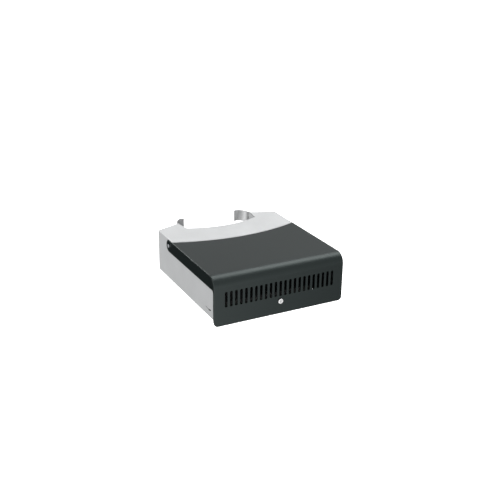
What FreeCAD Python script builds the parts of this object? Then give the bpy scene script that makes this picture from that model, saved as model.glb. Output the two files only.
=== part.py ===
import FreeCAD, Part
import math
import os

# Lockable ventilated equipment box that hooks round an oval column.
# Millimetres. +Z is up, +X is the right-hand side seen from the front, and the front faces -Y.
# The origin is on the column's axis, level with the lower edge of the cover's front panel.

V = FreeCAD.Vector
X_AXIS = V(1, 0, 0)
Y_AXIS = V(0, 1, 0)
Z_AXIS = V(0, 0, 1)
PAST = 2.0  # how far a cutting tool runs past the faces that it cuts

# ---- driving dimensions -------------------------------------------------------------
SHEET = 1.5  # folded steel sheet

COVER_WIDTH = 426.0
COVER_HEIGHT = 150.0
COVER_FRONT = -444.0  # front face of the cover, measured from the column's axis
COVER_BEND = 32.0  # outer radius between the cover's top and its front panel
COVER_EDGE_BEND = 2.5  # outer radius between the top and the side flanges
FLANGE_DEPTH = 38.0  # side flange of the cover; its round ear has half of this as radius
FRONT_RETURN = 4.5  # narrow side return of the front panel
PANEL_CORNER = 14.0  # lower corners of the front panel
PIVOT_Y = COVER_FRONT + 326.0
PIVOT_Z = COVER_HEIGHT - FLANGE_DEPTH / 2

SLOT_COUNT = 23
SLOT_PITCH = 15.85
SLOT_WIDTH = 8.4
SLOT_BOTTOM = 55.5
SLOT_TOP = 103.5
LOCK_Z = 40.0

BODY_WIDTH = 422.0
BODY_TOP = 151.2  # the fixed rear top stands just proud of the cover
BODY_BOTTOM = 20.0
BODY_FRONT = COVER_FRONT + 3.5
BODY_BEND = 3.0
WALL_TOP = 147.0  # side walls under the cover
SEAM_MIDDLE = COVER_FRONT + 264.3  # front edge of the rear top, on the centre line
SEAM_SIDE = SEAM_MIDDLE + 40.4  # the same edge at the sides
SEAM_GAP = 1.6
SEAM_FLANGE = 12.0
REAR_CORNER = (BODY_WIDTH / 2, COVER_FRONT + 421.6)
REAR_CORNER_RADIUS = 6.0
WING_ANGLE = math.radians(8.8)  # where the slanted rear wall reaches the saddle's side arc

SADDLE_HALF_WIDTH = 128.6  # widest place of the saddle, on the column's axis
SADDLE_DEPTH = 73.1  # from the column's axis to the saddle's front
SADDLE_SIDE_RADIUS = 57.6
SADDLE_FRONT_RADIUS = 291.0
SADDLE_LEAN = math.radians(7.3)  # the flat sides spread towards the back
SADDLE_CORNER = 5.0  # bend radius between a flat side and the front arc
PAD = 2.0  # rubber between the steel and the column

# ---- the oval saddle ----------------------------------------------------------------
SIDE_CENTRE_X = SADDLE_HALF_WIDTH - SADDLE_SIDE_RADIUS
FRONT_CENTRE_Y = SADDLE_FRONT_RADIUS - SADDLE_DEPTH
SIDE_NORMAL = (math.cos(SADDLE_LEAN), -math.sin(SADDLE_LEAN))
SIDE_RUN = (math.sin(SADDLE_LEAN), math.cos(SADDLE_LEAN))  # along the flat side, to the back


def moved(point, direction, distance):
    return (point[0] + direction[0] * distance, point[1] + direction[1] * distance)


def side_arc(offset, angle, side=1):
    """Point of the saddle's side arc: angle is measured at its centre from the X axis."""
    radius = SADDLE_SIDE_RADIUS + offset
    return (side * (SIDE_CENTRE_X + radius * math.cos(angle)), radius * math.sin(angle))


def side_flat(offset, distance):
    """Point of the right flat side, at a distance in front of its end at the side arc."""
    return moved(side_arc(offset, -SADDLE_LEAN), SIDE_RUN, -distance)


def corner_bend(offset):
    """Bend between the right flat side and the front arc: its first point, middle and last point."""
    start = side_flat(-SADDLE_CORNER, 0.0)
    from_centre = (start[0], start[1] - FRONT_CENTRE_Y)
    along = from_centre[0] * SIDE_RUN[0] + from_centre[1] * SIDE_RUN[1]
    reach = SADDLE_FRONT_RADIUS - SADDLE_CORNER
    room = reach**2 - from_centre[0] ** 2 - from_centre[1] ** 2
    centre = moved(start, SIDE_RUN, -(along + math.sqrt(along**2 + room)))
    front = (centre[0] / reach, (centre[1] - FRONT_CENTRE_Y) / reach)
    between = (SIDE_NORMAL[0] + front[0], SIDE_NORMAL[1] + front[1])
    length = math.hypot(*between)
    radius = SADDLE_CORNER + offset
    return (
        moved(centre, SIDE_NORMAL, radius),
        moved(centre, between, radius / length),
        moved(centre, front, radius),
    )


WING_TIP = side_arc(0.0, WING_ANGLE)


# ---- small modelling helpers --------------------------------------------------------
def plan(z):
    return lambda p: V(p[0], p[1], z)


def side_view(x):
    return lambda p: V(x, p[0], p[1])


def front_view(y):
    return lambda p: V(p[0], y, p[1])


def wire(lift, start, *steps):
    """Closed or open wire of lines and arcs. A step is an end point, or (through, end) for an arc."""
    edges = []
    here = start
    for step in steps:
        if isinstance(step[0], tuple):
            through, end = step
            edges.append(Part.Arc(lift(here), lift(through), lift(end)).toShape())
        else:
            end = step
            edges.append(Part.LineSegment(lift(here), lift(end)).toShape())
        here = end
    return Part.Wire(edges)


def slab(lift, start, steps, travel):
    """Solid made by pushing a closed outline along travel."""
    return Part.Face(wire(lift, start, *steps, start)).extrude(travel)


def block(x0, x1, y0, y1, z0, z1):
    return Part.makeBox(x1 - x0, y1 - y0, z1 - z0, V(x0, y0, z0))


def rod(radius, start, direction, length):
    return Part.makeCylinder(radius, length, start, direction)


def tube(outer, inner, start, direction, length):
    return rod(outer, start, direction, length).cut(rod(inner, start, direction, length))


def hexagon(across_flats, start, direction, length):
    """Hexagonal prism on the line through start."""
    corner = across_flats / math.sqrt(3)
    points = [
        V(corner * math.cos(math.radians(60 * i)), corner * math.sin(math.radians(60 * i)), 0)
        for i in range(6)
    ]
    prism = Part.Face(Part.makePolygon(points + points[:1])).extrude(V(0, 0, length))
    prism.Placement = FreeCAD.Placement(start, FreeCAD.Rotation(Z_AXIS, direction))
    return prism


def oblong(lift, centre, length, height, travel):
    """Prism with round ends; length and height run along the outline's own two axes."""
    u, v = centre
    if length >= height:
        radius = height / 2
        flat = length / 2 - radius
        start = (u - flat, v - radius)
        steps = [
            (u + flat, v - radius),
            ((u + flat + radius, v), (u + flat, v + radius)),
            (u - flat, v + radius),
            ((u - flat - radius, v), start),
        ]
    else:
        radius = length / 2
        flat = height / 2 - radius
        start = (u + radius, v - flat)
        steps = [
            (u + radius, v + flat),
            ((u, v + flat + radius), (u - radius, v + flat)),
            (u - radius, v - flat),
            ((u, v - flat - radius), start),
        ]
    return Part.Face(wire(lift, start, *steps)).extrude(travel)


def mirrored(shape):
    return shape.mirror(V(0, 0, 0), X_AXIS)


def both_sides(shape):
    return [shape, mirrored(shape)]


def fuse_all(shapes):
    fused = shapes[0]
    for shape in shapes[1:]:
        fused = fused.fuse(shape)
    return fused.removeSplitter()


def cut_all(shape, tools):
    for tool in tools:
        shape = shape.cut(tool)
    return shape


def round_edges(shape, radius, wanted):
    """Fillets the edges that wanted(edge) picks."""
    return shape.makeFillet(radius, [e for e in shape.Edges if wanted(e)])


def save(name, *shapes):
    """Writes one node: one closed solid, or several as a group."""
    solids = [solid for shape in shapes for solid in shape.Solids]
    for solid in solids:
        if not solid.isValid() or solid.Volume <= 0:
            raise ValueError(f"{name} has a bad solid")
    shape = solids[0] if len(solids) == 1 else Part.makeCompound(solids)
    shape.exportStep(f"parts/{name}.step")
    print(f"{name}: {len(solids)} solid(s), {shape.Volume / 1000:.2f} cm3")
    return shape


# ---- fixed body ---------------------------------------------------------------------
HALF_BODY = BODY_WIDTH / 2
SEAM_SAG = SEAM_SIDE - SEAM_MIDDLE
SEAM_RADIUS = (HALF_BODY**2 + SEAM_SAG**2) / (2 * SEAM_SAG)
FLOOR_TOP = BODY_BOTTOM + SHEET
SADDLE_END = math.radians(8.4)  # where the saddle wall meets the rear wing wall

CLAW_THICKNESS = 3.0
CLAW_BOTTOM = 112.0
CLAW_TOP = 149.4
CLAW_FLAT = 32.0  # length of the claw's root along the saddle's flat side
CLAW_END = math.radians(53.5)
CLAW_LIP_TURN = math.radians(48.0)
CLAW_LIP_LENGTH = 10.8
CLAW_LIP_BEND = 3.0
CLAW_GAP = 0.4
CLAW_SCREW_Z = 131.0
CLAW_SCREW_DISTANCES = [8.0, 25.0]  # along the flat side

PORT_Z = 85.0
PORT_LENGTH = 100.0
PORT_HEIGHT = 40.0
BOLT_SPACING = 80.0
BOLT_HOLE = 4.5

SIDE_SLOT_CENTRE = (COVER_FRONT + 40.5, 79.5)  # the curved slot low on the left side wall
SIDE_SLOT_RADIUS = 39.0
SIDE_SLOT_HALF_TURN = math.radians(26.0)
SIDE_SLOT_WIDTH = 3.4


def seam_y(x, gap=0.0):
    """Depth of the curved seam at x; gap moves it towards the front."""
    centre = SEAM_MIDDLE + SEAM_RADIUS
    radius = SEAM_RADIUS + gap
    return centre - math.sqrt(radius**2 - x**2)


def offset_corner(inset):
    """Right rear corner moved inwards by inset: side end, arc middle, wing start and wing tip."""
    run_x = WING_TIP[0] - REAR_CORNER[0]
    run_y = WING_TIP[1] - REAR_CORNER[1]
    run = math.hypot(run_x, run_y)
    along = (run_x / run, run_y / run)
    normal = (-along[1], along[0])  # points into the body
    if normal[1] > 0:
        normal = (-normal[0], -normal[1])
    turn = math.acos(along[1])  # between the side wall and the wing wall
    trim = REAR_CORNER_RADIUS * math.tan(turn / 2)
    centre = (REAR_CORNER[0] - REAR_CORNER_RADIUS, REAR_CORNER[1] - trim)
    radius = REAR_CORNER_RADIUS - inset
    middle = turn / 2
    side_end = (centre[0] + radius, centre[1])
    arc_middle = (centre[0] + radius * math.cos(middle), centre[1] + radius * math.sin(middle))
    wing_start = (centre[0] + radius * math.cos(turn), centre[1] + radius * math.sin(turn))
    tip = (WING_TIP[0] + normal[0] * inset, WING_TIP[1] + normal[1] * inset)
    return side_end, arc_middle, wing_start, tip


def flip(p):
    return (-p[0], p[1])


def wing_meets_saddle(inset):
    """Angle on the side arc at which the wing wall's line, moved inwards by inset, ends."""
    _, _, start, tip = offset_corner(inset)
    length = math.hypot(tip[0] - start[0], tip[1] - start[1])
    run = ((tip[0] - start[0]) / length, (tip[1] - start[1]) / length)
    away = (start[0] - SIDE_CENTRE_X, start[1])
    along = away[0] * run[0] + away[1] * run[1]
    room = along**2 - away[0] ** 2 - away[1] ** 2 + SADDLE_SIDE_RADIUS**2
    end = moved(start, run, -along - math.sqrt(room))
    return math.atan2(end[1], end[0] - SIDE_CENTRE_X)


def saddle_path(offset, end_angle):
    """Steps along the saddle from the right end to the left end, and its right end."""
    right_end = side_arc(offset, end_angle)
    half = (end_angle - SADDLE_LEAN) / 2
    side_start, middle, front_end = corner_bend(offset)
    flat_end = side_arc(offset, -SADDLE_LEAN)
    steps = [
        (side_arc(offset, half), flat_end),
        side_start,
        (middle, front_end),
        ((0.0, -SADDLE_DEPTH - offset), flip(front_end)),
        (flip(middle), flip(side_start)),
        flip(flat_end),
        (side_arc(offset, half, -1), flip(right_end)),
    ]
    return right_end, steps


def saddle_band(inner, outer, end_angle, z0, z1):
    """Wall between two offsets of the saddle, open at the back."""
    start, inner_steps = saddle_path(inner, end_angle)
    outer_start, outer_steps = saddle_path(outer, end_angle)
    back = wire(plan(z0), outer_start, *outer_steps)
    front = wire(plan(z0), start, *inner_steps)
    ends = [
        Part.LineSegment(plan(z0)(start), plan(z0)(outer_start)).toShape(),
        Part.LineSegment(plan(z0)(flip(start)), plan(z0)(flip(outer_start))).toShape(),
    ]
    outline = Part.Wire(Part.__sortEdges__(front.Edges + back.Edges + ends))
    return Part.Face(outline).extrude(V(0, 0, z1 - z0))


def rear_block(inset, z0, z1, with_saddle):
    """Solid under the rear top, which ends at the saddle cut-out or, without it, runs past it."""
    side_end, arc_middle, wing_start, tip = offset_corner(inset)
    half = HALF_BODY - inset
    front_right = (half, seam_y(half, -inset))
    steps = [side_end, (arc_middle, wing_start), tip]
    if with_saddle:
        steps += saddle_path(0.0, WING_ANGLE)[1]
    else:
        steps += [(tip[0], tip[1] + PAST), (-tip[0], tip[1] + PAST), flip(tip)]
    steps += [flip(wing_start), (flip(arc_middle), flip(side_end)), flip(front_right)]
    edge = ((0.0, seam_y(0.0, -inset)), front_right)
    return Part.Face(wire(plan(z0), front_right, *steps, edge)).extrude(V(0, 0, z1 - z0))


def top_outer_edge(z, half):
    """Picks the top edges that get the sheet's bend, which leaves out the saddle cut-out."""

    def wanted(edge):
        box = edge.BoundBox
        middle = edge.CenterOfMass
        if abs(box.ZMin - z) > 0.01 or abs(box.ZMax - z) > 0.01:
            return False
        if middle.y < SEAM_SIDE:
            return True
        if abs(middle.x) > WING_TIP[0] + 5 and abs(middle.x) <= half + 0.01:
            return True
        return False

    return wanted


def side_wall():
    """Right side wall in front of the rear top, with its stiffening return under the cover."""
    clearance = SHEET + 1.5
    bend = COVER_BEND - clearance
    centre = (COVER_FRONT + COVER_BEND, COVER_HEIGHT - COVER_BEND)
    reach = BODY_FRONT - centre[0]
    corner = (BODY_FRONT, centre[1] + math.sqrt(bend**2 - reach**2))
    half_way = (math.atan2(corner[1] - centre[1], reach) + math.pi / 2) / 2
    middle = (centre[0] + bend * math.cos(half_way), centre[1] + bend * math.sin(half_way))
    outline = [
        corner,
        (middle, (centre[0], WALL_TOP)),
        (SEAM_SIDE + 20, WALL_TOP),
        (SEAM_SIDE + 20, BODY_BOTTOM),
    ]
    inner_x = HALF_BODY - SHEET
    wall = slab(side_view(inner_x), (BODY_FRONT, BODY_BOTTOM), outline, V(SHEET, 0, 0))
    return_width = 11.0
    top_return = block(
        HALF_BODY - return_width, inner_x, centre[0] + 4, SEAM_SIDE - 14, WALL_TOP - SHEET, WALL_TOP
    )
    return wall.fuse(top_return)


def side_slot():
    """Cutting tool for the curved slot in the left side wall."""
    y, z = SIDE_SLOT_CENTRE
    inner = SIDE_SLOT_RADIUS - SIDE_SLOT_WIDTH / 2
    outer = SIDE_SLOT_RADIUS + SIDE_SLOT_WIDTH / 2

    def at(radius, turn):
        return (y + radius * math.sin(turn), z - radius * math.cos(turn))

    turn = SIDE_SLOT_HALF_TURN
    steps = [
        (at(outer, 0.0), at(outer, turn)),
        at(inner, turn),
        (at(inner, 0.0), at(inner, -turn)),
    ]
    wide = HALF_BODY + PAST
    return slab(side_view(-wide), at(outer, -turn), steps, V(wide, 0, 0))


def body_shell(saddle):
    """Rear top, both side walls and the slanted rear wing walls, folded from one sheet."""
    outer = rear_block(0.0, BODY_BOTTOM, BODY_TOP, True)
    outer = round_edges(outer, BODY_BEND, top_outer_edge(BODY_TOP, HALF_BODY))
    inner = rear_block(SHEET, BODY_BOTTOM - PAST, BODY_TOP - SHEET, False)
    inner = round_edges(
        inner, BODY_BEND - SHEET, top_outer_edge(BODY_TOP - SHEET, HALF_BODY - SHEET)
    )
    shell = outer.cut(inner)
    front_opening = block(
        -(HALF_BODY - SHEET),
        HALF_BODY - SHEET,
        SEAM_MIDDLE - PAST,
        SEAM_SIDE + 3 * PAST,
        BODY_BOTTOM - PAST,
        BODY_TOP - SEAM_FLANGE,
    )
    shell = shell.cut(front_opening)
    shell = fuse_all([shell] + both_sides(side_wall()))
    pivot_holes = rod(2.6, V(-HALF_BODY - PAST, PIVOT_Y, PIVOT_Z), X_AXIS, BODY_WIDTH + 2 * PAST)
    claw_slot = saddle_band(
        SHEET - CLAW_GAP,
        SHEET + CLAW_THICKNESS + CLAW_GAP,
        math.radians(20.0),
        CLAW_BOTTOM - CLAW_GAP,
        BODY_TOP - SHEET,
    )
    return cut_all(shell, [pivot_holes, claw_slot, side_slot(), saddle])


def saddle_wall():
    """Curved wall that faces the column, with the cable port and the two fixing holes."""
    wall = saddle_band(0.0, SHEET, SADDLE_END, FLOOR_TOP, BODY_TOP - SHEET)
    back_y = -SADDLE_DEPTH - 10
    through = V(0, 30, 0)
    port = oblong(front_view(back_y), (0, PORT_Z), PORT_LENGTH, PORT_HEIGHT, through)
    holes = [
        rod(BOLT_HOLE, V(0, back_y, PORT_Z + up * BOLT_SPACING / 2), Y_AXIS, 30) for up in (-1, 1)
    ]
    return cut_all(wall, [port] + holes + claw_screw_places(screw_countersink))


def cable_port_trim(wall):
    """Rubber edging round the cable port, gripping the wall on both faces."""
    grip = 3.0
    back_y = -SADDLE_DEPTH - 20
    through = V(0, 60, 0)
    size = (PORT_LENGTH + 2 * grip, PORT_HEIGHT + 2 * grip)
    hole = (PORT_LENGTH - 2 * SHEET, PORT_HEIGHT - 2 * SHEET)
    band = saddle_band(-1.4, SHEET + 1.4, SADDLE_END, PORT_Z - 40, PORT_Z + 40)
    ring = oblong(front_view(back_y), (0, PORT_Z), *size, through)
    ring = ring.cut(oblong(front_view(back_y), (0, PORT_Z), *hole, through))
    return band.common(ring).cut(wall)


def claw():
    """Right-hand claw: a flat root, a strip round the column's side and an inward hook."""
    inner = SHEET
    outer = SHEET + CLAW_THICKNESS
    middle = (CLAW_END - SADDLE_LEAN) / 2
    normal = (math.cos(CLAW_END), math.sin(CLAW_END))
    forward = (-math.sin(CLAW_END), math.cos(CLAW_END))
    reach = SADDLE_SIDE_RADIUS + inner - CLAW_LIP_BEND
    centre = moved((SIDE_CENTRE_X, 0.0), normal, reach)

    def lip(radius, turn, run=0.0):
        """Point of the hook: radius from the bend's centre, then run along the hook."""
        on_bend = moved(moved(centre, normal, radius * math.cos(turn)), forward, radius * math.sin(turn))
        return moved(moved(on_bend, forward, run * math.cos(turn)), normal, -run * math.sin(turn))

    big = CLAW_LIP_BEND + CLAW_THICKNESS
    small = CLAW_LIP_BEND
    turn = CLAW_LIP_TURN
    steps = [
        side_arc(inner, -SADDLE_LEAN),
        (side_arc(inner, middle), side_arc(inner, CLAW_END)),
        (lip(small, turn / 2), lip(small, turn)),
        lip(small, turn, CLAW_LIP_LENGTH),
        lip(big, turn, CLAW_LIP_LENGTH),
        lip(big, turn),
        (lip(big, turn / 2), side_arc(outer, CLAW_END)),
        (side_arc(outer, middle), side_arc(outer, -SADDLE_LEAN)),
        side_flat(outer, CLAW_FLAT),
    ]
    height = V(0, 0, CLAW_TOP - CLAW_BOTTOM)
    return slab(plan(CLAW_BOTTOM), side_flat(inner, CLAW_FLAT), steps, height)


def claw_screw_places(make):
    """make(point, direction) at each claw screw; direction points from the column into the wing."""
    made = []
    for side in (1, -1):
        for distance in CLAW_SCREW_DISTANCES:
            x, y = side_flat(0.0, distance)
            direction = V(side * SIDE_NORMAL[0], SIDE_NORMAL[1], 0)
            made.append(make(V(side * x, y, CLAW_SCREW_Z), direction))
    return made


CLAW_SCREW_HEAD = 4.6
CLAW_SCREW_HEAD_DEPTH = 2.1
CLAW_SCREW_RADIUS = 2.5


def screw_countersink(point, direction, clearance=0.1):
    """Hole for a countersunk screw, through the saddle wall and the claw."""
    hole = rod(CLAW_SCREW_RADIUS + clearance, point - direction, direction, 12)
    cone = Part.makeCone(
        CLAW_SCREW_HEAD + clearance,
        CLAW_SCREW_RADIUS + clearance,
        CLAW_SCREW_HEAD_DEPTH,
        point + direction * 0.3,
        direction,
    )
    mouth = rod(CLAW_SCREW_HEAD + clearance, point - direction * 2, direction, 2.3)
    return hole.fuse(cone).fuse(mouth)


def claw_screw(point, direction):
    """Countersunk socket screw, its head just under the saddle's face."""
    head_start = point + direction * 0.3
    head = Part.makeCone(
        CLAW_SCREW_HEAD, CLAW_SCREW_RADIUS, CLAW_SCREW_HEAD_DEPTH, head_start, direction
    )
    shank = rod(CLAW_SCREW_RADIUS, head_start + direction, direction, 10.5)
    socket = hexagon(3.0, head_start - direction, direction, 2.4)
    return head.fuse(shank).removeSplitter().cut(socket)


def claw_nut(point, direction):
    start = point + direction * (SHEET + CLAW_THICKNESS)
    nut = hexagon(8.0, start, direction, 4.0)
    return nut.cut(rod(CLAW_SCREW_RADIUS + 0.05, start - direction, direction, 6))


def column_pads():
    """Four self-adhesive rubber strips on the saddle's column side."""
    bottom = FLOOR_TOP + 8
    band = saddle_band(-PAD, 0.0, SADDLE_END, bottom, CLAW_BOTTOM - 5)
    strips = [block(64, 80, -SADDLE_DEPTH - 5, 0, 0, COVER_HEIGHT)]
    strips.append(block(110, 135, -36, -12, 0, COVER_HEIGHT))
    return [band.common(s) for strip in strips for s in both_sides(strip)]


# ---- base tray and what is on it ----------------------------------------------------
TRAY_FRONT = BODY_FRONT + 1.0
TRAY_LIP = 8.0
TRAY_FLANGE = 16.0
STRAP_Y = [-365.0, -240.0]
STRAP_SLOT_X = 150.0
STRAP_WIDTH = 25.0
STRAP_THICKNESS = 1.8
VENT_ROWS_Y = [-204.0, -149.0]
VENT_COUNT = 9
VENT_PITCH = 14.0
STRIKE_X = (13.0, 41.0)
STRIKE_BACK = COVER_FRONT + 18.7
STRIKE_SHEET = 1.6
STRIKE_TOP = 56.0
STRIKE_BASE_END = COVER_FRONT + 38.0
STRIKE_RIVET_Y = COVER_FRONT + 31.0
EARTH_PLACE = (176.0, -150.0)
TIE_PLACES = [(-75.0, -112.0), (75.0, -112.0)]


def base_tray():
    """Floor with side flanges, a low front lip, strap slots and two groups of air slots."""
    half = HALF_BODY - SHEET
    side_end, arc_middle, wing_start, _ = offset_corner(SHEET)
    saddle_start, saddle_steps = saddle_path(0.0, wing_meets_saddle(SHEET))
    front_right = (half, TRAY_FRONT)
    steps = [side_end, (arc_middle, wing_start), saddle_start] + saddle_steps
    steps += [flip(wing_start), (flip(arc_middle), flip(side_end)), flip(front_right)]
    floor = slab(plan(BODY_BOTTOM), front_right, steps, V(0, 0, SHEET))
    flange_top = BODY_BOTTOM + TRAY_FLANGE
    lip_top = BODY_BOTTOM + TRAY_LIP
    flange = block(half - SHEET, half, TRAY_FRONT + 6, side_end[1] - 8, FLOOR_TOP, flange_top)
    lip = block(-half + 8, half - 8, TRAY_FRONT, TRAY_FRONT + SHEET, FLOOR_TOP, lip_top)
    tray = fuse_all([floor, lip] + both_sides(flange))
    through = V(0, 0, SHEET + 2 * PAST)
    below = plan(BODY_BOTTOM - PAST)
    tools = []
    for y in STRAP_Y:
        for side in (1, -1):
            tools.append(oblong(below, (side * STRAP_SLOT_X, y), 5.0, STRAP_WIDTH + 4, through))
    for y in VENT_ROWS_Y:
        for i in range(VENT_COUNT):
            x = (i - (VENT_COUNT - 1) / 2) * VENT_PITCH
            for side in (1, -1):
                tools.append(oblong(below, (x + side * 75.0, y), 5.0, 44.0, through))
    for x, y in TIE_PLACES + strike_rivet_places():
        tools.append(rod(1.7, V(x, y, BODY_BOTTOM - PAST), Z_AXIS, 8))
    tools.append(rod(2.6, V(*EARTH_PLACE, BODY_BOTTOM - PAST), Z_AXIS, 8))
    return cut_all(tray, tools)


def strap(y):
    """Hook-and-loop strap lying flat: under the floor, up through both slots, ends lapped on top."""
    t = STRAP_THICKNESS
    low = BODY_BOTTOM - t
    high = FLOOR_TOP
    out = STRAP_SLOT_X + t / 2
    lap = 30.0
    upper = high + t + 0.2
    steps = [
        (out, low),
        (out, high + t),
        (-lap, high + t),
        (-lap, high),
        (out - t, high),
        (out - t, low + t),
        (-out + t, low + t),
        (-out + t, upper),
        (lap, upper),
        (lap, upper + t),
        (-out, upper + t),
    ]
    start_y = y - STRAP_WIDTH / 2
    return slab(front_view(start_y), (-out, low), steps, V(0, STRAP_WIDTH, 0))


def strike_rivet_places():
    return [(x, STRIKE_RIVET_Y) for x in (STRIKE_X[0] + 7, STRIKE_X[1] - 7)]


def strike_plate():
    """Angle bracket behind which the lock's cam turns."""
    x0, x1 = STRIKE_X
    top = STRIKE_TOP
    bend = 3.0
    front = STRIKE_BACK - STRIKE_SHEET
    inner = bend - STRIKE_SHEET
    diagonal = math.sqrt(0.5)
    centre = (front + bend, FLOOR_TOP + bend)
    steps = [
        ((centre[0] - bend * diagonal, centre[1] - bend * diagonal), (centre[0], FLOOR_TOP)),
        (STRIKE_BASE_END, FLOOR_TOP),
        (STRIKE_BASE_END, FLOOR_TOP + STRIKE_SHEET),
        (centre[0], FLOOR_TOP + STRIKE_SHEET),
        ((centre[0] - inner * diagonal, centre[1] - inner * diagonal), (STRIKE_BACK, centre[1])),
        (STRIKE_BACK, top),
        (front, top),
    ]
    plate = slab(side_view(x0), (front, centre[1]), steps, V(x1 - x0, 0, 0))
    plate = round_edges(
        plate,
        4.0,
        lambda e: abs(e.CenterOfMass.z - top) < 0.01 and e.Length < STRIKE_SHEET + 0.1,
    )
    holes = [rod(1.7, V(x, y, FLOOR_TOP - 1), Z_AXIS, 5) for x, y in strike_rivet_places()]
    return cut_all(plate, holes)


def rivet(x, y, bottom, top):
    """Blind rivet with a domed upper head."""
    shank = rod(1.7, V(x, y, bottom - 1.0), Z_AXIS, top - bottom + 1.4)
    lower = rod(2.7, V(x, y, bottom - 1.2), Z_AXIS, 1.2)
    dome = Part.makeSphere(4.0, V(x, y, top - 2.8)).common(rod(2.86, V(x, y, top), Z_AXIS, 2))
    return fuse_all([shank, lower, dome])


def tie_base(x, y):
    """Square plastic cable-tie mount with a tie channel."""
    body = block(x - 10, x + 10, y - 10, y + 10, FLOOR_TOP, FLOOR_TOP + 5.5)
    body = round_edges(body, 2.5, lambda e: e.BoundBox.ZLength > 5)
    channel = block(x - 12, x + 12, y - 2.7, y + 2.7, FLOOR_TOP + 1.6, FLOOR_TOP + 3.4)
    side_cuts = []
    for middle in (x - 7.5, x + 7.5):
        side_cuts.append(
            block(middle - 1.5, middle + 1.5, y - 2.7, y + 2.7, FLOOR_TOP + 3, FLOOR_TOP + 6)
        )
    well = rod(3.3, V(x, y, FLOOR_TOP + 2.0), Z_AXIS, 5)
    hole = rod(1.7, V(x, y, FLOOR_TOP - 1), Z_AXIS, 8)
    return cut_all(body, [channel, well, hole] + side_cuts)


def tie_screw(x, y):
    """Pan-head screw with a cross recess, through the tie mount and the floor."""
    seat = FLOOR_TOP + 2.0
    top = seat + 2.0
    head = round_edges(
        rod(3.0, V(x, y, seat), Z_AXIS, 2.0),
        1.2,
        lambda e: e.Closed and abs(e.CenterOfMass.z - top) < 0.01,
    )
    shank = rod(1.65, V(x, y, BODY_BOTTOM - 4), Z_AXIS, seat - BODY_BOTTOM + 4.5)
    cross = [
        block(x - a, x + a, y - b, y + b, seat + 0.8, top + 1) for a, b in ((1.7, 0.35), (0.35, 1.7))
    ]
    return cut_all(head.fuse(shank).removeSplitter(), cross)


def earth_stud():
    x, y = EARTH_PLACE
    return rod(2.5, V(x, y, BODY_BOTTOM), Z_AXIS, 17.0)


def earth_washers():
    x, y = EARTH_PLACE
    flat = tube(5.0, 2.6, V(x, y, FLOOR_TOP), Z_AXIS, 1.0)
    spring = tube(4.4, 2.6, V(x, y, FLOOR_TOP + 1.0), Z_AXIS, 1.2)
    split = block(x, x + 6, y - 0.5, y + 0.5, FLOOR_TOP + 1.0 - 0.01, FLOOR_TOP + 3)
    return [flat, spring.cut(split)]


def earth_nut():
    x, y = EARTH_PLACE
    start = V(x, y, FLOOR_TOP + 2.2)
    return hexagon(8.0, start, Z_AXIS, 4.0).cut(rod(2.55, start - Z_AXIS, Z_AXIS, 6))


def cover_bumpers():
    """Rubber buttons on the side walls' returns, which the closed cover sits on."""
    bumpers = []
    for y in (COVER_FRONT + 52, SEAM_SIDE - 40):
        button = rod(4.0, V(HALF_BODY - 6.2, y, WALL_TOP), Z_AXIS, 1.2)
        bumpers += both_sides(button)
    return bumpers


# ---- cover and its pivots -----------------------------------------------------------
HALF_COVER = COVER_WIDTH / 2
EAR_RADIUS = FLANGE_DEPTH / 2
EAR_BACK = PIVOT_Y + EAR_RADIUS
FLANGE_BOTTOM = COVER_HEIGHT - FLANGE_DEPTH
SHOULDER = 3.0
BUSH_BORE = 3.05
BUSH_OUTER = 4.5
BUSH_FLANGE = 6.0
BUSH_RIM = 0.8
WASHER_THICKNESS = 0.4
LOCK_BARREL = 6.0
LOCK_FLATS = 10.6


def cover_block(inset, back, bottom):
    """Solid bounded by the cover's front, bend and top, moved inwards by inset."""
    half = HALF_COVER - inset
    radius = COVER_BEND - inset
    front = COVER_FRONT + inset
    top = COVER_HEIGHT - inset
    centre = (COVER_FRONT + COVER_BEND, COVER_HEIGHT - COVER_BEND)
    diagonal = radius * math.sqrt(0.5)
    steps = [
        (front, centre[1]),
        ((centre[0] - diagonal, centre[1] + diagonal), (centre[0], top)),
        (back, top),
        (back, bottom),
    ]
    solid = slab(side_view(-half), (front, bottom), steps, V(2 * half, 0, 0))

    def folded(edge):
        box = edge.BoundBox
        if abs(abs(edge.CenterOfMass.x) - half) > 0.01 or box.XLength > 0.01:
            return False
        on_back = box.YMin > back - 0.01
        on_bottom = box.ZMax < bottom + 0.01
        return not on_back and not on_bottom

    return round_edges(solid, COVER_EDGE_BEND - inset, folded)


def double_d(radius, flats, start, length):
    """Round bar along Y with a flat on each side."""
    bar = rod(radius, start, Y_AXIS, length)
    half = flats / 2
    return bar.common(
        block(start.x - half, start.x + half, start.y, start.y + length, start.z - 20, start.z + 20)
    )


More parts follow.
